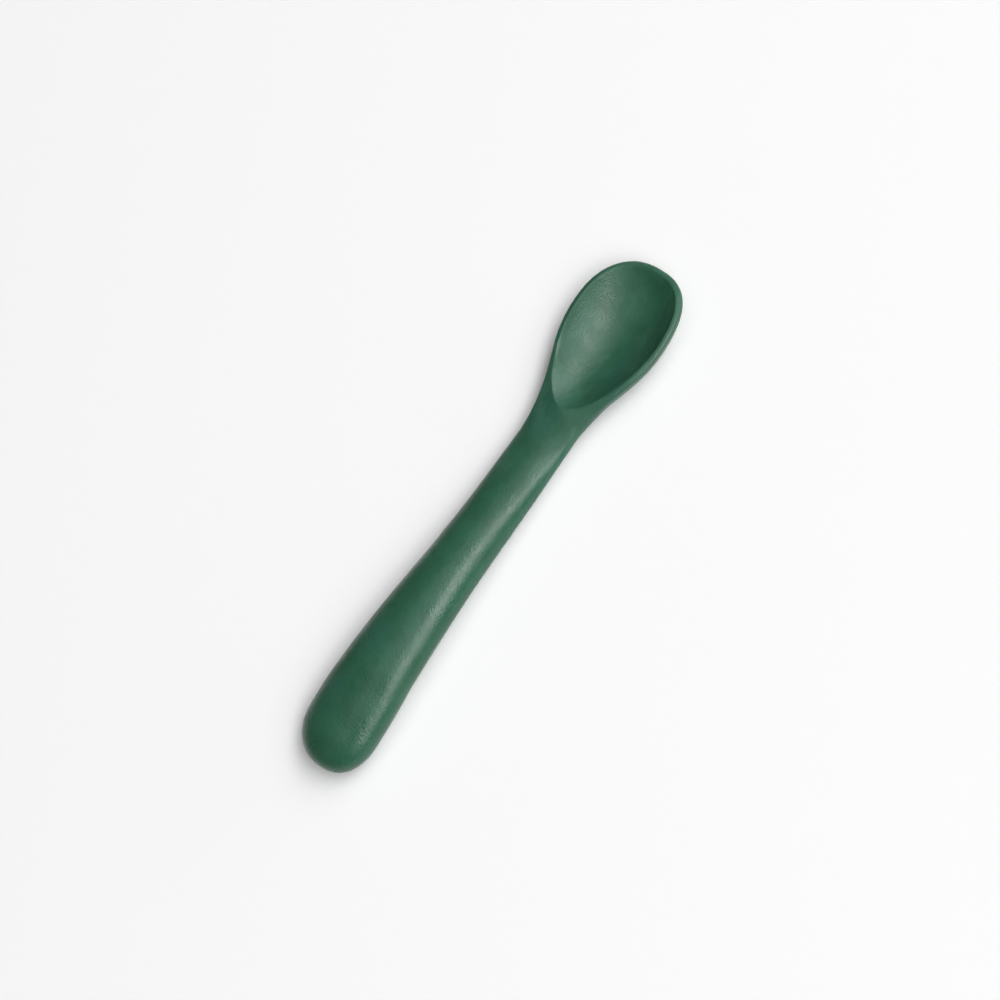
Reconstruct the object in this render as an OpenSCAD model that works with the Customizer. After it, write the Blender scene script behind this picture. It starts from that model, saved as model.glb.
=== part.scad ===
// A baby spoon of soft silicone moulded over a stiff nylon blade.
// X runs from the handle's end to the bowl's tip, Y runs across and Z is up.
// The origin lies on the table, below the middle of the spoon.

/* [Overall] */
// Length from the handle's end to the bowl's tip
spoon_len = 140; // [125:1:155]
// Depth of the small flats that the spoon rests on
rest_cut = 0.35; // [0.25:0.05:0.5]

/* [Handle] */
// Width of the handle at its widest, near the end
handle_w = 19.9; // [17:0.1:22]
// Height of the handle above its widest line
handle_top_h = 5.2; // [4.6:0.1:6]
// Depth of the handle below its widest line
handle_bottom_h = 7.0; // [6.5:0.1:7.5]
// Length of the handle's rounded end
handle_cap_len = 12; // [11:0.5:13]
// Rise of the widest line from the resting flat to the top of the handle's arch
handle_arch_h = 1.55; // [1.2:0.05:1.8]
// Distance from the rounded end to the top of the arch
handle_arch_len = 16; // [13:0.5:19]

/* [Neck] */
// Width of the neck at its narrowest
neck_w = 13.6; // [12.5:0.1:15]
// Height of the neck's widest line above the table
neck_z = 5; // [4.9:0.05:5.6]
// Height of the neck's shoulders above its widest line
neck_shoulder_h = 1.6; // [1.4:0.05:1.9]
// Rise of the neck's crown above its shoulders
neck_crown_h = 1.4; // [1.1:0.05:1.6]
// Depth of the neck below its widest line
neck_bottom_h = 3.1; // [2.9:0.05:3.5]
// Distance from the neck's narrowest place to the bowl's widest
neck_to_bowl_len = 32; // [28:1:36]

/* [Bowl] */
// Width of the bowl across the rim
bowl_w = 26.6; // [24:0.1:29]
// Depth of the bowl's outside below the rim's outer line
bowl_bottom_h = 8.2; // [7.9:0.1:8.7]
// Distance from the bowl's widest place to its tip
bowl_tip_len = 17; // [15:0.5:20]
// Drop of the rim from the bowl's middle to its tip
tip_drop = 2.7; // [1:0.1:3.5]
// Height of the rim's top above its outer line
rim_top_h = 0.6; // [0.5:0.05:0.8]
// Width of the rim from its outer line to the basin
rim_w = 1.2; // [1:0.05:1.4]
// Distance from the basin's widest place back to its heel
basin_heel_len = 22.7; // [20:0.1:24]
// Depth of the basin below the rim's top
basin_depth = 6.8; // [6.4:0.1:7]

/* [Blade] */
// Thickness of the blade
blade_t = 2.4; // [2:0.1:2.6]
// Silicone beside the blade's long edges
blade_side_cover = 2.8; // [2.4:0.1:3.2]
// Silicone between the blade and the handle's end
blade_end_cover = 5; // [4:0.5:7]
// Silicone between the blade and the basin's heel
blade_heel_cover = 6; // [4:0.1:8]
// Length of the blade's rounded end in the handle
blade_end_len = 6; // [5:0.5:8]
// Length of the blade's rounded end at the heel
blade_heel_len = 3; // [2:0.5:4]

/* [Anchors] */
// Diameter of the holes that the studs pass through
anchor_d = 4; // [3:0.5:4.5]
// Number of holes
anchor_count = 5; // [2:1:5]
// Distance from the blade's end in the handle to the middle of the first hole
anchor_first = 13; // [9:0.5:14]
// Distance from the blade's end at the heel to the middle of the last hole
anchor_last = 13; // [9:0.2:16]

/* [Back cover] */
// Distance that the cover runs past the blade's end at the heel
cover_run = 1.7; // [1.2:0.1:3]

/* [Hidden] */
skin_colour = [0.24, 0.42, 0.33];
cover_colour = [0.21, 0.38, 0.3];
core_colour = [0.86, 0.85, 0.8];
$fn = 48;

// Room by which a cutting shape runs past what it cuts
overrun = 2;

// Places along the spoon
end_x = -spoon_len / 2;
tip_x = spoon_len / 2;
grip_x = end_x + handle_cap_len;
arch_x = grip_x + handle_arch_len;
bowl_x = tip_x - bowl_tip_len;
neck_x = bowl_x - neck_to_bowl_len;
heel_x = bowl_x - basin_heel_len;
blade_end_x = end_x + blade_end_cover;
blade_heel_x = heel_x - blade_heel_cover;
cover_x = blade_heel_x + cover_run;
anchor_pitch = (blade_heel_x - anchor_last - blade_end_x - anchor_first) / (anchor_count - 1);

// Heights of the widest line at the arch and at the rim
arch_z = handle_bottom_h - rest_cut + handle_arch_h;
rim_z = bowl_bottom_h - rest_cut;

// How the sizes change from the rounded end, at 0, to the neck, at 1
handle_width_shares = [[0, 1], [0.1, 0.965], [0.2, 0.8], [0.3, 0.66], [0.42, 0.455],
    [0.52, 0.285], [0.62, 0.165], [0.73, 0.085], [0.86, 0.04], [1, 0]];
handle_top_shares = [[0, 1], [0.6, 1], [0.7, 0.91], [0.8, 0.67], [0.9, 0.36], [1, 0]];
handle_depth_shares = [[0, 1], [0.1, 0.97], [0.2, 0.87], [0.3, 0.74], [0.42, 0.57],
    [0.52, 0.42], [0.62, 0.29], [0.73, 0.16], [0.86, 0.07], [1, 0]];
shoulder_width_shares = [[0, 0.574], [0.6, 0.574], [0.7, 0.598], [0.8, 0.663], [0.9, 0.746],
    [1, 0.84]];

// How the widest line comes down from the arch, at 0, to the neck, at 1
arch_fall_shares = [[0, 1], [0.13, 0.95], [0.27, 0.815], [0.4, 0.6], [0.52, 0.37],
    [0.67, 0.145], [0.8, 0.03], [0.9, 0.005], [1, 0]];

// How the sizes change from the neck, at 0, to the bowl's widest place, at 1
bowl_width_shares = [[0, 0], [0.19, 0.02], [0.31, 0.12], [0.47, 0.325], [0.64, 0.64],
    [0.75, 0.82], [0.875, 0.95], [1, 1]];
bowl_depth_shares = [[0, 0], [0.19, 0.09], [0.31, 0.28], [0.47, 0.6], [0.625, 0.83],
    [0.75, 0.93], [0.875, 0.99], [1, 1]];
rim_rise_shares = [[0, 0], [0.19, 0.1], [0.31, 0.26], [0.47, 0.62], [0.56, 0.76],
    [0.65, 0.88], [0.78, 0.97], [1, 1]];
shoulder_rise_shares = [[0, 0], [0.15, 0.09], [0.28, 0.23], [0.375, 0.4], [0.47, 0.62],
    [0.6, 0.85], [0.75, 0.97], [1, 1]];
rim_width_shares = [[0, 0.84], [0.08, 0.89], [0.18, 0.945], [0.28, 0.96], [0.4, 0.96],
    [0.6, 0.94], [1, 0.9226]];
crown_fall_shares = [[0, 1], [0.15, 0.74], [0.3, 0.6], [0.47, 0.42], [0.65, 0.18], [0.8, 0],
    [1, 0]];
crown_turn_shares = [[0, 0], [0.1, 0.5], [0.2, 1], [0.3, 1], [1, 1]];

// Depth of the seam below the widest line, as a share of the depth of the underside
seam_share = 0.44;

// Roundness of the ends, where 2 is an ellipse and more is fuller
handle_cap_round_share = 2.3;
tip_round_share = 2.4;
tip_depth_round_share = 2;
heel_round_share = 1.7;

// Where the handle's line bends down to its end and the rim to the tip
end_drop_share = 1.68;
end_bend_share = 1.3;
tip_drop_start_share = 0.18;

// Angle at which the side meets the shoulder, on the handle and on the rim
shoulder_angle = 55;
rim_angle = 78;

// The same for the crown before the basin, which is flat in the middle and bends at its edges
heel_crown_angle = 30;

// Steps of the silicone's surface
crown_steps = 12;
edge_steps = 4;
under_steps = 24;
cap_steps = 8;
handle_steps = 22;
heel_steps = 18;
basin_steps = 9;
basin_sides = 56;
blade_steps = 30;

// Value of a table at a position, along a smooth curve through its rows
function row(t, q, i = 0) = i >= len(t) - 2 || q <= t[i + 1][0] ? i : row(t, q, i + 1);
function slope(t, i) = i == 0 || i == len(t) - 1 ? 0
    : (t[i + 1][1] - t[i - 1][1]) / (t[i + 1][0] - t[i - 1][0]);
function along(t, q) =
    let (i = row(t, q), step = t[i + 1][0] - t[i][0])
    let (u = min(max((q - t[i][0]) / step, 0), 1))
    t[i][1] * (1 + 2 * u) * (1 - u) ^ 2 + t[i + 1][1] * u ^ 2 * (3 - 2 * u)
    + step * u * (1 - u) * (slope(t, i) * (1 - u) - slope(t, i + 1) * u);
function blend(a, b, q) = a + (b - a) * q;

// Fullness of a rounded end, from 1 where it starts to 0 at the end
function cap(u, round_share) = (1 - min(max(u, 0), 1) ^ round_share) ^ (1 / round_share);
function end_cap(x) = cap((grip_x - x) / handle_cap_len, handle_cap_round_share);
function tip_cap(x, round_share) = cap((x - bowl_x) / bowl_tip_len, round_share);

// Shares of the way along the handle and along the bowl's near half
function handle_q(x) = (x - grip_x) / (neck_x - grip_x);
function bowl_q(x) = (x - neck_x) / neck_to_bowl_len;

// Half of the spoon's width
function half_w(x) = x < neck_x
    ? blend(neck_w, handle_w, along(handle_width_shares, handle_q(x))) / 2 * end_cap(x)
    : blend(neck_w, bowl_w, along(bowl_width_shares, bowl_q(x))) / 2
    * tip_cap(x, tip_round_share);

// Depth below the widest line, before and after the ends are rounded
function full_bottom_h(x) = x < neck_x
    ? blend(neck_bottom_h, handle_bottom_h, along(handle_depth_shares, handle_q(x)))
    : blend(neck_bottom_h, bowl_bottom_h, along(bowl_depth_shares, bowl_q(x)));
function bottom_h(x) = full_bottom_h(x)
    * (x < neck_x ? end_cap(x) : tip_cap(x, tip_depth_round_share));

// Height of the widest line above the table
function end_bend(x) = max(arch_x - x, 0) / (arch_x - end_x);
function tip_bend(x) = max(x - blend(bowl_x, tip_x, tip_drop_start_share), 0)
    / (bowl_tip_len * (1 - tip_drop_start_share));
function line_z(x) = x < neck_x
    ? blend(neck_z, arch_z, along(arch_fall_shares, (x - arch_x) / (neck_x - arch_x)))
    - handle_arch_h * end_drop_share * end_bend(x) ^ end_bend_share
    : blend(neck_z, rim_z, along(rim_rise_shares, bowl_q(x))) - tip_drop * tip_bend(x) ^ 2;

// Shoulder that edges the crown of the handle and neck and becomes the rim's top
function shoulder_w(x) = half_w(x) * (x < neck_x
    ? along(shoulder_width_shares, handle_q(x))
    : along(rim_width_shares, bowl_q(x)));
function shoulder_h(x) = x < neck_x
    ? blend(neck_shoulder_h, handle_top_h * sin(shoulder_angle),
        along(handle_top_shares, handle_q(x))) * end_cap(x)
    : (blend(neck_z + neck_shoulder_h, rim_z + rim_top_h,
        along(shoulder_rise_shares, bowl_q(x)))
    - blend(neck_z, rim_z, along(rim_rise_shares, bowl_q(x))))
    * tip_cap(x, tip_round_share);
function crown_h(x) = x < neck_x
    ? blend(neck_crown_h, handle_top_h * (1 - sin(shoulder_angle)),
        along(handle_top_shares, handle_q(x))) * end_cap(x)
    : neck_crown_h * along(crown_fall_shares, bowl_q(x));
function side_angle(x) = blend(shoulder_angle, rim_angle, min(max(bowl_q(x), 0), 1));
function crown_angle(x) = blend(shoulder_angle, heel_crown_angle,
    along(crown_turn_shares, max(bowl_q(x), 0)));
function top_z(x) = line_z(x) + shoulder_h(x) + crown_h(x);

// Height of the seam between the two mouldings, on which the blade lies
function seam_z(x) = line_z(x) - full_bottom_h(x) * seam_share;

// Points of one cross-section, from one shoulder over the crown and round below
function crown_rise(q, a) = (sqrt(1 - (q * cos(a)) ^ 2) - sin(a)) / (1 - sin(a));
function crown_points(x) = [for (i = [0 : crown_steps])
    let (q = cos(180 * i / crown_steps))
    [x, shoulder_w(x) * q,
        line_z(x) + shoulder_h(x) + crown_h(x) * crown_rise(q, crown_angle(x))]];
function edge_point(x, side, turn) =
    let (reach = (half_w(x) - shoulder_w(x)) / (1 - cos(side_angle(x))))
    [x, side * (half_w(x) - reach * (1 - cos(turn))),
        line_z(x) + shoulder_h(x) * sin(turn) / sin(side_angle(x))];
function edge_points(x) = [for (i = [1 : edge_steps])
    edge_point(x, -1, side_angle(x) * (1 - i / edge_steps))];
function edge_points_back(x) = [for (i = [0 : edge_steps - 1])
    edge_point(x, 1, side_angle(x) * i / edge_steps)];
function under_points(x) = [for (i = [1 : under_steps - 1])
    let (turn = 180 * i / under_steps)
    [x, -half_w(x) * cos(turn), line_z(x) - bottom_h(x) * sin(turn)]];
function section(x) = concat(crown_points(x), edge_points(x), under_points(x),
    edge_points_back(x));

// Places of the cross-sections, closer together towards the ends and round the heel
end_stations = [for (i = [1 : cap_steps - 1])
    grip_x - handle_cap_len * cos(90 * i / cap_steps)];
handle_stations = [for (i = [0 : handle_steps - 1]) blend(grip_x, neck_x, i / handle_steps)];
heel_stations = [for (i = [0 : heel_steps - 1]) blend(neck_x, bowl_x, i / heel_steps)];
tip_stations = [for (i = [0 : cap_steps - 1])
    bowl_x + bowl_tip_len * sin(90 * i / cap_steps)];
stations = concat(end_stations, handle_stations, heel_stations, tip_stations);

// Closed skin over rings of points, with one point closing each end
function skin_points(rings, first, last) = concat([first], [for (r = rings) each r], [last]);
function skin_faces(rings) =
    let (n = len(rings[0]), m = len(rings))
    concat(
        [for (i = [0 : n - 1]) [0, 1 + i, 1 + (i + 1) % n]],
        [for (k = [0 : m - 2], i = [0 : n - 1])
            let (j = (i + 1) % n)
            each [[1 + k * n + i, 1 + (k + 1) * n + i, 1 + (k + 1) * n + j],
                [1 + k * n + i, 1 + (k + 1) * n + j, 1 + k * n + j]]],
        [for (i = [0 : n - 1])
            [1 + (m - 1) * n + (i + 1) % n, 1 + (m - 1) * n + i, 1 + m * n]]);

// Outside of the whole spoon, still without the basin
module spoon_form() {
    rings = [for (x = stations) section(x)];
    polyhedron(skin_points(rings, [end_x, 0, line_z(end_x)], [tip_x, 0, line_z(tip_x)]),
        skin_faces(rings));
}

// Hollow of the bowl, which runs up past the rim
function bulge(v, round_share) = sign(v) * abs(v) ^ (2 / round_share);
function basin_point(turn, dive) =
    let (c = cos(turn), s = sin(turn))
    let (round_share = c < 0 ? heel_round_share : tip_round_share)
    let (reach = c < 0 ? basin_heel_len : bowl_tip_len - rim_w)
    let (size = cos(dive), depth = sin(dive) ^ 2)
    let (x = bowl_x + reach * size * bulge(c, round_share))
    [x, (bowl_w / 2 - rim_w) * size * bulge(s, round_share), top_z(x) - basin_depth * depth];
function basin_ring(dive, lift) = [for (i = [0 : basin_sides - 1])
    basin_point(-360 * i / basin_sides, dive) + [0, 0, lift]];
module basin() {
    rings = concat([basin_ring(0, overrun)],
        [for (k = [0 : basin_steps - 1]) basin_ring(90 * k / basin_steps, 0)]);
    polyhedron(skin_points(rings, [bowl_x, 0, top_z(bowl_x) + overrun], basin_point(0, 90)),
        skin_faces(rings));
}

// Space below the table, which leaves the resting flats
module ground() {
    translate([0, 0, -overrun])
        cube([spoon_len + 3 * overrun, bowl_w + 3 * overrun, 2 * overrun], center = true);
}

// Outline in X and Z, extruded right across the spoon
module across() {
    rotate([90, 0, 0])
        linear_extrude(height = bowl_w + overrun, center = true)
            children();
}

// Space that the second moulding fills: all below the seam, up to the bowl
module cover_space() {
    steps = handle_steps + 2 * cap_steps;
    across()
        polygon(concat([[cover_x, -overrun], [end_x - overrun, -overrun],
            [end_x - overrun, seam_z(end_x)]],
            [for (i = [0 : steps])
                let (x = blend(end_x, cover_x, i / steps))
                [x, seam_z(x)]]));
}

// Bar that follows the spoon's outline and arch. The blade is what stands above the seam.
function blade_half_w(x) = (half_w(x) - blade_side_cover)
    * cap(1 - (x - blade_end_x) / blade_end_len, 2)
    * cap(1 - (blade_heel_x - x) / blade_heel_len, 2);
blade_stations = concat(
    [for (i = [0 : cap_steps - 1]) blade_end_x + blade_end_len * (1 - cos(90 * i / cap_steps))],
    [for (i = [0 : blade_steps]) blend(blade_end_x + blade_end_len,
        blade_heel_x - blade_heel_len, i / blade_steps)],
    [for (i = [1 : cap_steps]) blade_heel_x - blade_heel_len * (1 - sin(90 * i / cap_steps))]);
module blade_bar() {
    last = len(blade_stations) - 1;
    intersection() {
        linear_extrude(height = arch_z + handle_top_h)
            polygon(concat(
                [for (i = [0 : last]) [blade_stations[i], -blade_half_w(blade_stations[i])]],
                [for (i = [1 : last - 1])
                    let (x = blade_stations[last - i])
                    [x, blade_half_w(x)]]));
        across()
            polygon(concat(
                [for (x = blade_stations) [x, seam_z(x) - blade_t]],
                [for (i = [0 : last])
                    let (x = blade_stations[last - i])
                    [x, seam_z(x) + blade_t]]));
    }
}

// Upright bars where the holes and the studs are
module anchors() {
    for (i = [0 : anchor_count - 1])
        translate([blade_end_x + anchor_first + anchor_pitch * i, 0, 0])
            cylinder(d = anchor_d, h = arch_z + handle_top_h);
}

// Nylon blade that stiffens the handle and neck
module core() {
    color(core_colour) difference() {
        blade_bar();
        cover_space();
        anchors();
    }
}

// First moulding: bowl, rim and the upper half of the neck and handle
module bowl_body() {
    color(skin_colour) difference() {
        spoon_form();
        basin();
        ground();
        cover_space();
        blade_bar();
    }
}

// Second moulding: the underside, with studs through the blade's holes
module back_cover() {
    color(cover_colour) union() {
        difference() {
            intersection() {
                spoon_form();
                cover_space();
            }
            ground();
        }
        intersection() {
            blade_bar();
            anchors();
        }
    }
}

core();
bowl_body();
back_cover();
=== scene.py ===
import math

import bmesh
import bpy
from mathutils import Matrix, Vector


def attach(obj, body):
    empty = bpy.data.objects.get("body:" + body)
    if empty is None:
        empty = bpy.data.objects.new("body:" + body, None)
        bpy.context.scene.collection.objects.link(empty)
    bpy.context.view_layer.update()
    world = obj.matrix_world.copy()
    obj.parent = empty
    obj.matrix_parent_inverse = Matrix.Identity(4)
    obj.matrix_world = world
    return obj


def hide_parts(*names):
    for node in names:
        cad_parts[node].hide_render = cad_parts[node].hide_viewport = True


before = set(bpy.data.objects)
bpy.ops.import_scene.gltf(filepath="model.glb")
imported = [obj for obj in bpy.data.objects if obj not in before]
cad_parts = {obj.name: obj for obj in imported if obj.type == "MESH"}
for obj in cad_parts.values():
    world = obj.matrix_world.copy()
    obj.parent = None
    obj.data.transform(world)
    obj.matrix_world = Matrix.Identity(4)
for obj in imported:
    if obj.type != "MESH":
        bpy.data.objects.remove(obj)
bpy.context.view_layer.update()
mm = 0.001


# Camera. It looks down on the spoon from its near side, with the spoon running
# from the lower left to the upper right of a square picture.
camera_tilt = math.radians(28)
camera_roll = math.radians(55.28)
camera_distance = 0.65
camera_target = Vector((4.66, 0.15, 6.0)) * mm
photo_side = 1000
photo_pixel = 0.2322 * mm

towards_camera = Vector((0, -math.sin(camera_tilt), math.cos(camera_tilt)))
along_spoon = Vector((1, 0, 0))
across_view = towards_camera.cross(along_spoon)
picture_right = along_spoon * math.cos(camera_roll) - across_view * math.sin(camera_roll)
picture_up = along_spoon * math.sin(camera_roll) + across_view * math.cos(camera_roll)

camera_data = bpy.data.cameras.new("camera")
camera_data.sensor_fit = "HORIZONTAL"
camera_data.lens = camera_data.sensor_width * camera_distance / (photo_side * photo_pixel)
camera = bpy.data.objects.new("camera", camera_data)
turn = Matrix((picture_right, picture_up, towards_camera)).transposed().to_4x4()
camera.matrix_world = Matrix.Translation(camera_target + towards_camera * camera_distance) @ turn
bpy.context.scene.collection.objects.link(camera)
bpy.context.scene.camera = camera


# Silicone body. The first moulding is the bowl, the rim and the top of the neck and
# handle, in one piece of soft matte silicone. Along the neck and handle it ends below at
# the seam, where the back cover is bonded on.
spoon_len = 140
rest_cut = 0.35
handle_w = 19.9
handle_top_h = 5.2
handle_bottom_h = 7.0
handle_cap_len = 12
handle_arch_h = 1.55
handle_arch_len = 16
neck_w = 13.6
neck_z = 5
neck_shoulder_h = 1.6
neck_crown_h = 1.4
neck_bottom_h = 3.1
neck_to_bowl_len = 32
bowl_w = 26.6
bowl_bottom_h = 8.2
bowl_tip_len = 17
tip_drop = 2.7
rim_top_h = 0.6
rim_w = 1.2
basin_heel_len = 22.7
basin_depth = 6.8
bead_h = 0.14
bead_w = 1.1
bead_top_share = 0.4
bead_foot_share = 0.6
seam_start_x = 26

end_x = -spoon_len / 2
tip_x = spoon_len / 2
grip_x = end_x + handle_cap_len
arch_x = grip_x + handle_arch_len
bowl_x = tip_x - bowl_tip_len
neck_x = bowl_x - neck_to_bowl_len
arch_z = handle_bottom_h - rest_cut + handle_arch_h
rim_z = bowl_bottom_h - rest_cut

# Curves along the spoon: each row is a share of the way and the value there
handle_width_shares = [
    (0, 1), (0.1, 0.965), (0.2, 0.8), (0.3, 0.66), (0.42, 0.455), (0.52, 0.285),
    (0.62, 0.165), (0.73, 0.085), (0.86, 0.04), (1, 0)]
handle_top_shares = [(0, 1), (0.6, 1), (0.7, 0.91), (0.8, 0.67), (0.9, 0.36), (1, 0)]
handle_depth_shares = [
    (0, 1), (0.1, 0.97), (0.2, 0.87), (0.3, 0.74), (0.42, 0.57), (0.52, 0.42),
    (0.62, 0.29), (0.73, 0.16), (0.86, 0.07), (1, 0)]
shoulder_width_shares = [
    (0, 0.574), (0.6, 0.574), (0.7, 0.598), (0.8, 0.663), (0.9, 0.746), (1, 0.84)]
arch_fall_shares = [
    (0, 1), (0.13, 0.95), (0.27, 0.815), (0.4, 0.6), (0.52, 0.37), (0.67, 0.145),
    (0.8, 0.03), (0.9, 0.005), (1, 0)]
bowl_width_shares = [
    (0, 0), (0.19, 0.02), (0.31, 0.12), (0.47, 0.325), (0.64, 0.64), (0.75, 0.82),
    (0.875, 0.95), (1, 1)]
bowl_depth_shares = [
    (0, 0), (0.19, 0.09), (0.31, 0.28), (0.47, 0.6), (0.625, 0.83), (0.75, 0.93),
    (0.875, 0.99), (1, 1)]
rim_rise_shares = [
    (0, 0), (0.19, 0.1), (0.31, 0.26), (0.47, 0.62), (0.56, 0.76), (0.65, 0.88),
    (0.78, 0.97), (1, 1)]
shoulder_rise_shares = [
    (0, 0), (0.15, 0.09), (0.28, 0.23), (0.375, 0.4), (0.47, 0.62), (0.6, 0.85),
    (0.75, 0.97), (1, 1)]
rim_width_shares = [
    (0, 0.84), (0.08, 0.89), (0.18, 0.945), (0.28, 0.96), (0.4, 0.96), (0.6, 0.94),
    (1, 0.9226)]
crown_fall_shares = [
    (0, 1), (0.15, 0.74), (0.3, 0.6), (0.47, 0.42), (0.65, 0.18), (0.8, 0), (1, 0)]
crown_turn_shares = [(0, 0), (0.1, 0.5), (0.2, 1), (0.3, 1), (1, 1)]
seam_share = 0.44
handle_cap_round = 2.3
tip_round = 2.4
tip_depth_round = 2
heel_round = 1.7
end_drop_share = 1.68
end_bend = 1.3
tip_drop_start_share = 0.18
shoulder_angle = math.radians(55)
rim_angle = math.radians(78)
heel_crown_angle = math.radians(30)


def slope(table, i):
    """Steepness of a table's curve at one of its rows, level at both ends."""
    if i in (0, len(table) - 1):
        return 0
    return (table[i + 1][1] - table[i - 1][1]) / (table[i + 1][0] - table[i - 1][0])


def along(table, q):
    """Value of a table at a position, along a smooth curve through its rows."""
    i = 0
    while i < len(table) - 2 and q > table[i + 1][0]:
        i += 1
    step = table[i + 1][0] - table[i][0]
    u = min(max((q - table[i][0]) / step, 0), 1)
    return (
        table[i][1] * (1 + 2 * u) * (1 - u) ** 2
        + table[i + 1][1] * u ** 2 * (3 - 2 * u)
        + step * u * (1 - u) * (slope(table, i) * (1 - u) - slope(table, i + 1) * u))


def blend(a, b, q):
    return a + (b - a) * q


def cap(u, roundness):
    """Fullness of a rounded end, from 1 where it starts to 0 at the end."""
    return (1 - min(max(u, 0), 1) ** roundness) ** (1 / roundness)


def end_cap(x):
    """Fullness of the handle's rounded end."""
    return cap((grip_x - x) / handle_cap_len, handle_cap_round)


def handle_q(x):
    """Share of the way from the grip to the neck."""
    return (x - grip_x) / (neck_x - grip_x)


def bowl_q(x):
    """Share of the way from the neck to the bowl."""
    return (x - neck_x) / neck_to_bowl_len


def half_w(x):
    """Half the width at the widest line."""
    if x < neck_x:
        return blend(neck_w, handle_w, along(handle_width_shares, handle_q(x))) / 2 * end_cap(x)
    full = blend(neck_w, bowl_w, along(bowl_width_shares, bowl_q(x))) / 2
    return full * cap((x - bowl_x) / bowl_tip_len, tip_round)


def full_bottom_h(x):
    """Depth below the widest line, before the ends are rounded."""
    if x < neck_x:
        return blend(neck_bottom_h, handle_bottom_h, along(handle_depth_shares, handle_q(x)))
    return blend(neck_bottom_h, bowl_bottom_h, along(bowl_depth_shares, bowl_q(x)))


def bottom_h(x):
    if x < neck_x:
        return full_bottom_h(x) * end_cap(x)
    return full_bottom_h(x) * cap((x - bowl_x) / bowl_tip_len, tip_depth_round)


def line_z(x):
    """Height of the widest line above the table."""
    if x < neck_x:
        fall = along(arch_fall_shares, (x - arch_x) / (neck_x - arch_x))
        drop = (max(arch_x - x, 0) / (arch_x - end_x)) ** end_bend
        return blend(neck_z, arch_z, fall) - handle_arch_h * end_drop_share * drop
    bend_x = blend(bowl_x, tip_x, tip_drop_start_share)
    drop = (max(x - bend_x, 0) / (tip_x - bend_x)) ** 2
    return blend(neck_z, rim_z, along(rim_rise_shares, bowl_q(x))) - tip_drop * drop


def shoulder_h(x):
    """Height of the shoulder above the widest line."""
    if x < neck_x:
        full = handle_top_h * math.sin(shoulder_angle)
        return blend(neck_shoulder_h, full, along(handle_top_shares, handle_q(x))) * end_cap(x)
    q = bowl_q(x)
    rim = blend(neck_z + neck_shoulder_h, rim_z + rim_top_h, along(shoulder_rise_shares, q))
    return rim - blend(neck_z, rim_z, along(rim_rise_shares, q))


def shoulder_w(x):
    """Half the width from shoulder to shoulder."""
    if x < neck_x:
        return half_w(x) * along(shoulder_width_shares, handle_q(x))
    return half_w(x) * along(rim_width_shares, bowl_q(x))


def crown_h(x):
    """Height of the crown above the shoulders."""
    if x < neck_x:
        full = handle_top_h * (1 - math.sin(shoulder_angle))
        return blend(neck_crown_h, full, along(handle_top_shares, handle_q(x))) * end_cap(x)
    return neck_crown_h * along(crown_fall_shares, bowl_q(x))


def side_angle(x):
    """Angle that the side turns through, from the widest line up to the shoulder."""
    return blend(shoulder_angle, rim_angle, min(max(bowl_q(x), 0), 1))


def crown_z(x, y):
    """Height of the top between the shoulders."""
    a = blend(shoulder_angle, heel_crown_angle, along(crown_turn_shares, max(bowl_q(x), 0)))
    q = min(abs(y) / max(shoulder_w(x), 1e-6), 1)
    rise = (math.sqrt(1 - (q * math.cos(a)) ** 2) - math.sin(a)) / (1 - math.sin(a))
    return line_z(x) + shoulder_h(x) + crown_h(x) * rise


def under_z(x, y):
    """Height of the underside."""
    q = min(abs(y) / max(half_w(x), 1e-6), 1)
    return line_z(x) - bottom_h(x) * math.sqrt(1 - q * q)


def seam_angle(x):
    """Angle below the widest line at which the seam runs."""
    if x > grip_x:
        return math.asin(seam_share)
    return math.asin(min(seam_share / max(end_cap(x), seam_share), 1))


def seam_z(x):
    """Height of the seam above the table."""
    return line_z(x) - full_bottom_h(x) * seam_share


# The skin stays a hair inside the hard shape
skin_fit = 0.9995

# Steps along and round the piece
cap_steps = 16
sleeve_steps = 64
low_steps = 8
edge_steps = 8
crown_steps = 28
floor_steps = 16
flank_steps = 34
tip_steps = 26
basin_steps = 26
bowl_steps = 26

# The cover ends where the rounded end has thinned to the seam's share
cover_end_x = grip_x - handle_cap_len * (1 - seam_share ** handle_cap_round) ** (
    1 / handle_cap_round)
sleeve_x = [grip_x - handle_cap_len * math.cos(math.pi / 2 * i / cap_steps)
            for i in range(cap_steps)]
sleeve_x += [blend(grip_x, seam_start_x, i / sleeve_steps) for i in range(sleeve_steps + 1)]
sleeve_x = sorted(sleeve_x + [cover_end_x])


def low_point(x, side, turn):
    return (x, side * half_w(x) * math.cos(turn), line_z(x) - bottom_h(x) * math.sin(turn))


def edge_point(x, side, turn):
    reach = (half_w(x) - shoulder_w(x)) / (1 - math.cos(side_angle(x)))
    rise = shoulder_h(x) * math.sin(turn) / math.sin(side_angle(x))
    return (x, side * (half_w(x) - reach * (1 - math.cos(turn))), line_z(x) + rise)


def crown_point(x, j):
    y = shoulder_w(x) * math.cos(math.pi * j / crown_steps)
    return (x, y, crown_z(x, y))


def upper_ring(x):
    """Points from the seam on the far side, over the crown, to the near seam."""
    low = [low_point(x, 1, seam_angle(x) * (1 - i / low_steps)) for i in range(low_steps)]
    edge = [edge_point(x, 1, side_angle(x) * i / edge_steps) for i in range(edge_steps)]
    crown = [crown_point(x, j) for j in range(crown_steps + 1)]
    return low + edge + crown + [(a, -b, c) for a, b, c in reversed(low + edge)]


def floor_ring(x):
    """Points straight across the seam, from the far side to the near side."""
    reach = half_w(x) * math.cos(seam_angle(x))
    return [(x, blend(reach, -reach, i / floor_steps), max(seam_z(x), under_z(x, 0)))
            for i in range(floor_steps + 1)]


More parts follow.
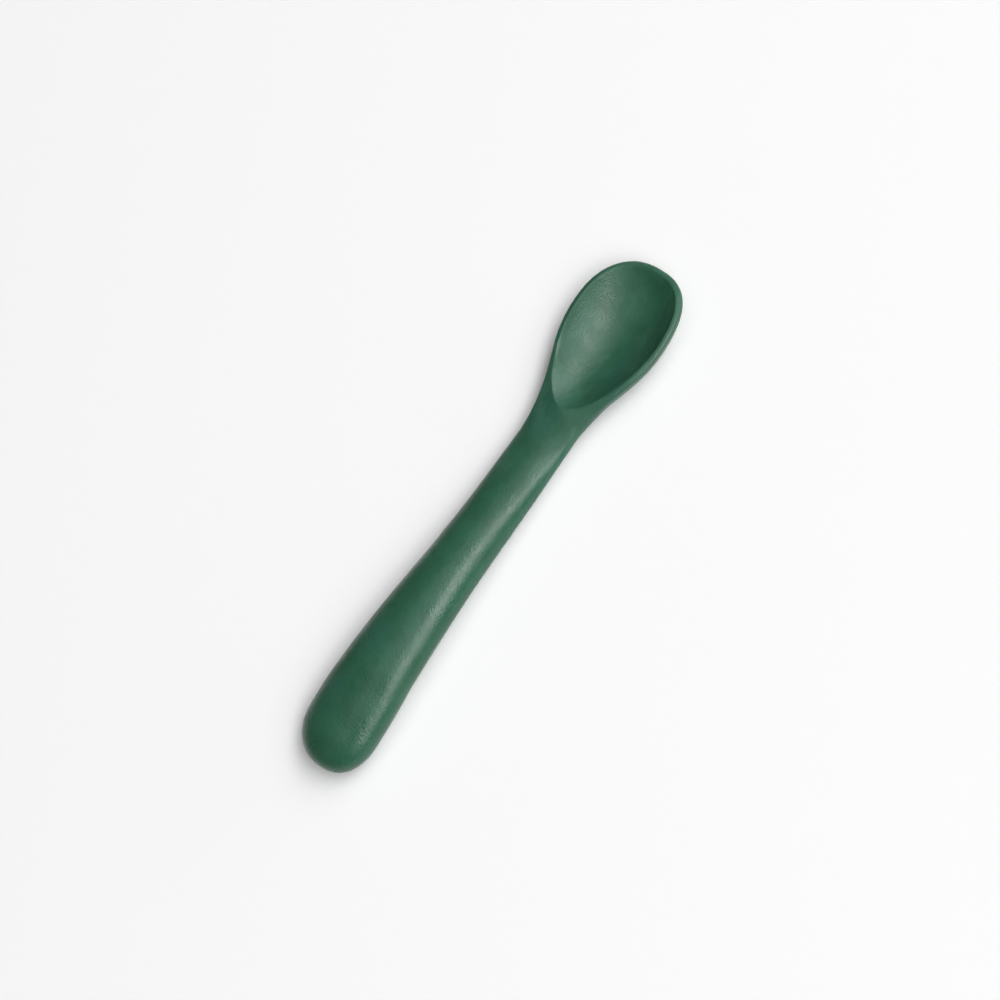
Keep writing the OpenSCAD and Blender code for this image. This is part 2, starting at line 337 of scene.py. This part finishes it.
def belly_ring(x):
    """Points round the underside below the seam, from the far side to the near side."""
    a = seam_angle(x)
    turns = [blend(a, math.pi - a, i / floor_steps) for i in range(floor_steps + 1)]
    return [low_point(x, 1, turn) for turn in turns]


def lay_patch(bm, rows):
    """Lays a grid and moves its points to the rows' places, in millimetres."""
    # The grid is 1 wide round its middle, so a point's place tells its row and column
    made = bmesh.ops.create_grid(
        bm, x_segments=len(rows) - 1, y_segments=len(rows[0]) - 1, size=0.5)
    for vert in made["verts"]:
        i = round((vert.co.x + 0.5) * (len(rows) - 1))
        j = round((vert.co.y + 0.5) * (len(rows[0]) - 1))
        x, y, z = rows[i][j]
        vert.co = Vector((x, y * skin_fit, max(z, 0) * skin_fit)) * mm


# Rim: places round the bowl, from the far side of the neck round the tip to the near side
def rim_points(turn_share):
    """Ring round the rim, from its widest line at 0 up to its top at 1."""
    stations = [blend(seam_start_x, bowl_x, i / flank_steps) for i in range(flank_steps)]
    stations += [bowl_x + bowl_tip_len * math.sin(math.pi / 2 * i / tip_steps)
                 for i in range(tip_steps + 1)]
    rim_edge_w = half_w(bowl_x) - shoulder_w(bowl_x)
    points = []
    for x in stations:
        a = side_angle(x)
        edge_w = half_w(x) - shoulder_w(x) if x < bowl_x else rim_edge_w
        inward = Vector((0, -1))
        if x > bowl_x:
            u = (x - bowl_x) / bowl_tip_len
            inward = -Vector((
                u ** (tip_round - 1) / bowl_tip_len,
                (half_w(x) * 2 / bowl_w) ** (tip_round - 1) / (bowl_w / 2))).normalized()
        reach = edge_w / (1 - math.cos(a)) * (1 - math.cos(a * turn_share))
        place = Vector((x, half_w(x))) + inward * reach
        rise = shoulder_h(x) * math.sin(a * turn_share) / math.sin(a)
        points.append((place.x, place.y, line_z(place.x) + rise))
    return points + [(a, -b, c) for a, b, c in reversed(points[:-1])]


def lip_of(x, y):
    """Place on the basin's edge in the direction of a point."""
    c, s = Vector((x - bowl_x, y)).normalized()
    roundness = heel_round if c < 0 else tip_round
    length = basin_heel_len if c < 0 else bowl_tip_len - rim_w
    width = bowl_w / 2 - rim_w
    reach = (abs(c / length) ** roundness + abs(s / width) ** roundness) ** (-1 / roundness)
    return bowl_x + c * reach, s * reach


def basin_row(x, y, z):
    """Points from the middle of the basin up its side, over a low bead and out to the rim."""
    lip_x, lip_y = lip_of(x, y)
    row = []
    for k in range(basin_steps):
        size = k / basin_steps
        px = bowl_x + (lip_x - bowl_x) * size
        row.append((px, lip_y * size, crown_z(px, 0) - basin_depth * (1 - size ** 2)))
    # The bead fades out where the rim is too narrow for it
    rim_reach = math.hypot(x - lip_x, y - lip_y)
    bead = bead_h * min(max(rim_reach / bead_w - 1, 0), 1)
    bead_rows = ((0, 0, 1), (bead_top_share, bead_w / 2, 1), (bead_foot_share, bead_w, 0))
    for share, distance, rise in bead_rows:
        out = min(share, distance / rim_reach)
        px, py = blend(lip_x, x, out), blend(lip_y, y, out)
        row.append((px, py, crown_z(px, py) + bead * rise))
    return row + [(x, y, z)]


def belly_row(x, y, z):
    """Points of the underside, from below the middle of the bowl out to a point of its edge."""
    row = []
    for k in range(bowl_steps):
        size = math.sin(math.pi / 2 * k / bowl_steps)
        px, py = blend(bowl_x, x, size), y * size
        row.append((px, py, under_z(px, py)))
    return row + [(x, y, z)]


# Joins and edges
weld_gap = 0.002
crisp_angle = math.radians(16)
crisp_start_x = neck_x - 1
edge_round = 0.4
edge_round_steps = 4
seam_groove = 0.09
seam_touch = 0.02
seam_point_len = 0.3


def close_skin(bm):
    """Joins the patches of a piece into one closed skin that faces outward."""
    bmesh.ops.remove_doubles(bm, verts=bm.verts[:], dist=weld_gap * mm)
    bmesh.ops.recalc_face_normals(bm, faces=bm.faces[:])


def on_seam(place):
    """Whether a point lies on the outer seam, clear of its pointed end."""
    if not cover_end_x + seam_point_len < place.x < seam_start_x + seam_touch:
        return False
    reach = half_w(place.x) * math.cos(seam_angle(place.x))
    at_side = abs(abs(place.y) - reach) < seam_touch
    at_height = abs(place.z - seam_z(place.x)) < seam_touch
    at_end = place.x > seam_start_x - seam_touch
    below = place.z < seam_z(seam_start_x) + seam_touch
    at_underside = abs(place.z - under_z(place.x, place.y)) < seam_touch
    return at_side and at_height or at_end and below and at_underside


def finish_skin(bm):
    """Cuts the fine groove where the back cover meets the body, and smooths the skin."""
    seam_line = [edge for edge in bm.edges
                 if all(on_seam(vert.co / mm) for vert in edge.verts)]
    bmesh.ops.bevel(
        bm, geom=seam_line, offset=seam_groove * mm, affect="EDGES", segments=1,
        profile=0.5, material=-1, clamp_overlap=False)
    for face in bm.faces:
        face.smooth = True


def place_piece(name, bm):
    """Object in the scene with the shape that was made."""
    data = bpy.data.meshes.new(name)
    bm.to_mesh(data)
    piece = bpy.data.objects.new(name, data)
    bpy.context.scene.collection.objects.link(piece)
    return piece


body_mesh = bmesh.new()
lay_patch(body_mesh, [upper_ring(x) for x in sleeve_x])
covered_x = [x for x in sleeve_x if x >= cover_end_x]
lay_patch(body_mesh, [floor_ring(x) for x in covered_x])
lay_patch(body_mesh, [floor_ring(seam_start_x), belly_ring(seam_start_x)])
lay_patch(body_mesh, [rim_points(i / edge_steps) for i in range(edge_steps + 1)])
top_edge = rim_points(1)
neck_top = [crown_point(seam_start_x, crown_steps - j) for j in range(crown_steps + 1)]
lay_patch(body_mesh, [basin_row(*place) for place in top_edge + neck_top[1:]])
low_edge = rim_points(0)
neck_low = [low_point(seam_start_x, -1, seam_angle(seam_start_x) * i / low_steps)
            for i in range(low_steps)]
neck_under = neck_low + list(reversed(belly_ring(seam_start_x)))
neck_under += [(x, -y, z) for x, y, z in reversed(neck_low)]
lay_patch(body_mesh, [belly_row(*place) for place in low_edge + neck_under[1:]])

close_skin(body_mesh)
crisp = [edge for edge in body_mesh.edges
         if len(edge.link_faces) == 2 and edge.calc_face_angle() > crisp_angle
         and all(vert.co.x > crisp_start_x * mm and vert.co.z > line_z(vert.co.x / mm) * mm
                 for vert in edge.verts)]
bmesh.ops.bevel(
    body_mesh, geom=crisp, offset=edge_round * mm, affect="EDGES",
    segments=edge_round_steps, profile=0.5, material=-1, clamp_overlap=True)
finish_skin(body_mesh)
silicone_body = place_piece("silicone_body", body_mesh)

# Silicone as moulded: faint clouds of pigment, a pale bloom that is partly real and partly
# painted reflection of the softbox, strongest in the bowl, light scuffs, a few specks of lint,
# worn satin patches and a fine grain from the mould
deep_green = (0.022, 0.089, 0.049)
light_green = (0.029, 0.108, 0.063)
bluish_green = (0.024, 0.097, 0.068)
# Lighter green of the bloom, which in the bowl also serves as painted reflection of the softbox
bloom_and_reflection_green = (0.060, 0.156, 0.108)
scuff_green = (0.085, 0.185, 0.135)
pale_lint_green = (0.22, 0.32, 0.27)
dark_lint_green = (0.012, 0.050, 0.029)
bloom_and_reflection_start_x = 0
bloom_and_reflection_full_x = 24
matte_roughness = 0.36
satin_roughness = 0.24
bowl_roughness = 0.08
bloom_roughness = 0.2
grain_depth = 0.1

silicone = bpy.data.materials.new("silicone")
silicone.use_nodes = True
skin = silicone.node_tree
shader = skin.nodes["Principled BSDF"]
shader.inputs["IOR"].default_value = 1.44


def clouds(tree, mark_mm, detail, stretch=(1, 1, 1), turn_degrees=0):
    """Soft random pattern whose marks are about so many millimetres across."""
    place = tree.nodes.new("ShaderNodeTexCoord")
    mapping = tree.nodes.new("ShaderNodeMapping")
    mapping.inputs["Rotation"].default_value = (0, 0, math.radians(turn_degrees))
    mapping.inputs["Scale"].default_value = stretch
    noise = tree.nodes.new("ShaderNodeTexNoise")
    noise.inputs["Scale"].default_value = 1 / (2 * mark_mm * mm)
    noise.inputs["Detail"].default_value = detail
    tree.links.new(place.outputs["Object"], mapping.inputs["Vector"])
    tree.links.new(mapping.outputs["Vector"], noise.inputs["Vector"])
    return noise.outputs["Fac"]


def specks(tree, apart_mm, across_mm, seed_mm):
    """Small round dots, 1 inside and 0 outside, about so far apart and so wide."""
    place = tree.nodes.new("ShaderNodeTexCoord")
    mapping = tree.nodes.new("ShaderNodeMapping")
    mapping.inputs["Location"].default_value = (seed_mm * mm, 0, 0)
    cells = tree.nodes.new("ShaderNodeTexVoronoi")
    cells.inputs["Scale"].default_value = 1 / (apart_mm * mm)
    tree.links.new(place.outputs["Object"], mapping.inputs["Vector"])
    tree.links.new(mapping.outputs["Vector"], cells.inputs["Vector"])
    radius = across_mm / apart_mm / 2
    return ramp(tree, cells.outputs["Distance"], radius * 1.3, radius * 0.7, 0, 1)


def ramp(tree, value, low, high, low_result, high_result):
    """Value carried smoothly from one range to another."""
    carry = tree.nodes.new("ShaderNodeMapRange")
    carry.interpolation_type = "SMOOTHSTEP"
    carry.inputs["From Min"].default_value = low
    carry.inputs["From Max"].default_value = high
    carry.inputs["To Min"].default_value = low_result
    carry.inputs["To Max"].default_value = high_result
    tree.links.new(value, carry.inputs["Value"])
    return carry.outputs["Result"]


def reckon(tree, operation, first, second):
    """Sum, difference or product of two values, each a number or a pattern."""
    node = tree.nodes.new("ShaderNodeMath")
    node.operation = operation
    for socket, value in zip(node.inputs, (first, second)):
        if isinstance(value, (int, float)):
            socket.default_value = value
        else:
            tree.links.new(value, socket)
    return node.outputs["Value"]


def tinted(tree, colour, other, share):
    """Colour that goes over to another where the share is 1."""
    mix = tree.nodes.new("ShaderNodeMix")
    mix.data_type = "RGBA"
    tree.links.new(share, mix.inputs["Factor"])
    for socket, value in ((mix.inputs["A"], colour), (mix.inputs["B"], other)):
        if isinstance(value, tuple):
            socket.default_value = value + (1,)
        else:
            tree.links.new(value, socket)
    return mix.outputs["Result"]


def place_along(tree, start_mm, end_mm):
    """0 before a place along the spoon and 1 after another."""
    place = tree.nodes.new("ShaderNodeTexCoord")
    split = tree.nodes.new("ShaderNodeSeparateXYZ")
    tree.links.new(place.outputs["Object"], split.inputs["Vector"])
    return ramp(tree, split.outputs["X"], start_mm * mm, end_mm * mm, 0, 1)


bowl_share = place_along(skin, bloom_and_reflection_start_x, bloom_and_reflection_full_x)
pigment = tinted(
    skin, deep_green, light_green,
    ramp(skin, clouds(skin, mark_mm=3.5, detail=4), 0.3, 0.7, 0, 1))
bluish = ramp(skin, clouds(skin, mark_mm=7, detail=2), 0.48, 0.7, 0, 0.6)
pigment = tinted(skin, pigment, bluish_green, bluish)
# Pale bloom in clouds: a light share on the handle, and a heavier share in the bowl, rising from
# 0.08 to 0.4, that is painted reflection of the softbox in the basin's wall
bloom_and_reflection_marks = clouds(skin, mark_mm=4, detail=5, stretch=(1, 1.6, 1), turn_degrees=35)
bloom_and_reflection_share = reckon(
    skin, "MULTIPLY", ramp(skin, bloom_and_reflection_marks, 0.42, 0.72, 0, 1),
    ramp(skin, bowl_share, 0, 1, 0.08, 0.4))
bloom_and_reflection_tinted = tinted(skin, pigment, bloom_and_reflection_green, bloom_and_reflection_share)
scuff_marks = clouds(skin, mark_mm=0.22, detail=2, stretch=(0.09, 1, 1), turn_degrees=20)
scuff_share = reckon(
    skin, "MULTIPLY", ramp(skin, scuff_marks, 0.62, 0.74, 0, 1),
    ramp(skin, clouds(skin, mark_mm=5, detail=2), 0.48, 0.6, 0, 0.22))
scuffed = tinted(skin, bloom_and_reflection_tinted, scuff_green, scuff_share)
pale_lint = reckon(
    skin, "MULTIPLY", specks(skin, apart_mm=11, across_mm=0.4, seed_mm=3),
    ramp(skin, clouds(skin, mark_mm=14, detail=1), 0.5, 0.55, 0, 0.8))
dark_lint = reckon(
    skin, "MULTIPLY", specks(skin, apart_mm=13, across_mm=0.7, seed_mm=8),
    ramp(skin, clouds(skin, mark_mm=20, detail=1), 0.45, 0.5, 0, 0.55))
linted = tinted(skin, scuffed, pale_lint_green, pale_lint)
linted = tinted(skin, linted, dark_lint_green, dark_lint)
skin.links.new(linted, shader.inputs["Base Color"])

satin = ramp(skin, clouds(skin, mark_mm=4, detail=3), 0.4, 0.62, 0, 1)
rough = reckon(
    skin, "ADD", ramp(skin, satin, 0, 1, matte_roughness, satin_roughness),
    ramp(skin, bowl_share, 0, 1, 0, bowl_roughness))
rough = reckon(skin, "ADD", rough, reckon(skin, "MULTIPLY", bloom_and_reflection_share, bloom_roughness))
skin.links.new(rough, shader.inputs["Roughness"])

# The grain is centred on 0, so that the edges of the satin patches raise no ridges
grain = reckon(
    skin, "MULTIPLY", reckon(skin, "SUBTRACT", clouds(skin, mark_mm=0.22, detail=2), 0.5),
    ramp(skin, satin, 0, 1, 0.4, 0.9))
swells = reckon(skin, "MULTIPLY", clouds(skin, mark_mm=0.9, detail=1), 0.6)
bump = skin.nodes.new("ShaderNodeBump")
bump.inputs["Distance"].default_value = grain_depth * mm
skin.links.new(reckon(skin, "ADD", grain, swells), bump.inputs["Height"])
skin.links.new(bump.outputs["Normal"], shader.inputs["Normal"])
silicone_body.data.materials.append(silicone)
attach(silicone_body, "root")
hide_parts("bowl_body")


# Back cover. The second moulding closes the underside of the handle and neck over the
# blade. It is the same silicone, bonded to the body along a fine seam.
cover_mesh = bmesh.new()
lay_patch(cover_mesh, [belly_ring(x) for x in covered_x])
lay_patch(cover_mesh, [floor_ring(x) for x in covered_x])
lay_patch(cover_mesh, [floor_ring(seam_start_x), belly_ring(seam_start_x)])
close_skin(cover_mesh)
finish_skin(cover_mesh)
silicone_cover = place_piece("silicone_back_cover", cover_mesh)
silicone_cover.data.materials.append(silicone)
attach(silicone_cover, "root")
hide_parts("back_cover")


# Nylon blade. The stiffener inside the handle and neck is moulded first, in pale nylon
# filled with short glass fibres, and both silicone mouldings are cast over it.
nylon_cream = (0.62, 0.60, 0.52)
nylon_pale = (0.74, 0.72, 0.65)
fibre_white = (0.86, 0.86, 0.82)
fibre_rise = 0.01

nylon = bpy.data.materials.new("nylon")
nylon.use_nodes = True
blade = nylon.node_tree
blade_shader = blade.nodes["Principled BSDF"]
flow_marks = clouds(blade, mark_mm=1.2, detail=3, stretch=(0.15, 1, 1))
flow = ramp(blade, flow_marks, 0.35, 0.65, 0, 1)
fibre_marks = clouds(blade, mark_mm=0.12, detail=2, stretch=(0.2, 1, 1), turn_degrees=12)
fibres = ramp(blade, fibre_marks, 0.6, 0.72, 0, 0.4)
blade_tone = tinted(blade, nylon_cream, nylon_pale, flow)
blade_tone = tinted(blade, blade_tone, fibre_white, fibres)
blade.links.new(blade_tone, blade_shader.inputs["Base Color"])
blade.links.new(ramp(blade, flow, 0, 1, 0.4, 0.52), blade_shader.inputs["Roughness"])
blade_bump = blade.nodes.new("ShaderNodeBump")
blade_bump.inputs["Distance"].default_value = fibre_rise * mm
blade.links.new(fibres, blade_bump.inputs["Height"])
blade.links.new(blade_bump.outputs["Normal"], blade_shader.inputs["Normal"])
bpy.data.objects["core"].material_slots[0].material = nylon


# Table top. A smooth white board, much larger than the spoon, on which it lies.
table_side = 12.0
table_colour = (0.9, 0.9, 0.9, 1)
table_mesh = bmesh.new()
bmesh.ops.create_grid(table_mesh, x_segments=1, y_segments=1, size=table_side / 2)
table_top = place_piece("table_top", table_mesh)
table_white = bpy.data.materials.new("table_white")
table_white.use_nodes = True
board = table_white.node_tree.nodes["Principled BSDF"]
board.inputs["Base Color"].default_value = table_colour
board.inputs["Roughness"].default_value = 0.9
board.inputs["Specular IOR Level"].default_value = 0.2
table_top.data.materials.append(table_white)


# Light. A large oval softbox, brighter in its middle and fading at its edge, stands beyond
# the tip on the near side of a dim room. A low white card stands nearer the tip, and a dim
# panel hangs overhead.
def panel(name, azimuth, elevation, distance, angle_across, angle_up, brightness):
    """Oval lamp that fills these angles as seen from the spoon. It looks white at 1."""
    lamp_data = bpy.data.lights.new(name, "AREA")
    lamp_data.shape = "ELLIPSE"
    lamp_data.size = 2 * distance * math.tan(math.radians(angle_across / 2))
    lamp_data.size_y = 2 * distance * math.tan(math.radians(angle_up / 2))
    lamp_data.energy = brightness * math.pi * math.pi / 4 * lamp_data.size * lamp_data.size_y
    lamp = bpy.data.objects.new(name, lamp_data)
    azimuth, elevation = math.radians(azimuth), math.radians(elevation)
    place = Vector((
        math.cos(elevation) * math.cos(azimuth), math.cos(elevation) * math.sin(azimuth),
        math.sin(elevation))) * distance
    facing = place.to_track_quat("Z", "Y").to_matrix().to_4x4()
    lamp.matrix_world = Matrix.Translation(place) @ facing
    bpy.context.scene.collection.objects.link(lamp)


panel("softbox", azimuth=306, elevation=50, distance=6.0,
      angle_across=100, angle_up=42, brightness=1.85)
panel("softbox_centre", azimuth=296, elevation=54.5, distance=4.0,
      angle_across=72, angle_up=19, brightness=5.9)
panel("softbox_halo", azimuth=302, elevation=56, distance=6.5,
      angle_across=112, angle_up=54, brightness=0.18)
panel("overhead", azimuth=90, elevation=89, distance=5.0,
      angle_across=66, angle_up=28, brightness=0.85)
panel("card", azimuth=326, elevation=9, distance=6.0,
      angle_across=60, angle_up=14, brightness=1.65)

room = bpy.data.worlds.new("dim_room")
room.use_nodes = True
walls = room.node_tree.nodes["Background"]
walls.inputs["Color"].default_value = (1, 1, 1, 1)
walls.inputs["Strength"].default_value = 0.015
bpy.context.scene.world = room

bpy.context.scene.view_settings.view_transform = "Standard"
